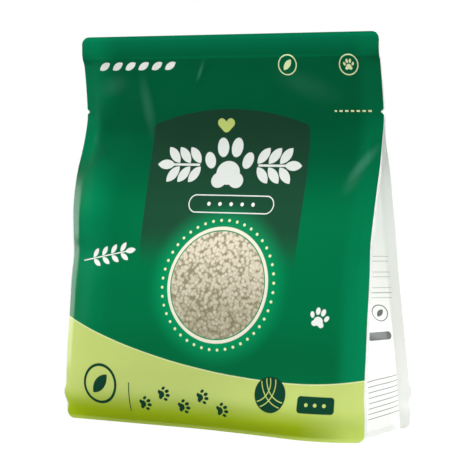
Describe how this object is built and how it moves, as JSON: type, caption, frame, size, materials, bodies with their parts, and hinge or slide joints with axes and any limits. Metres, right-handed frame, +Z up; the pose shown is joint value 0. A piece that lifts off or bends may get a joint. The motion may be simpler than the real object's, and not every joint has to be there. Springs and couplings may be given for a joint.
{
  "type": "cat litter bag",
  "caption": "Sealed flat-bottomed film bag of cat litter with pleated side gussets, flat welded edge fins, a welded top band and tear notches.",
  "frame": {"origin": "on the floor, at the middle of the bag's box", "axes": "+Z up from the base to the top seal, -Y out of the front panel, +X to the right seen from the front"},
  "size_m": [0.3044, 0.1128, 0.347],
  "materials": {
    "printed_film": "satin"
  },
  "bodies": {
    "root": {"bag": "printed_film"}
  },
  "joints": []
}
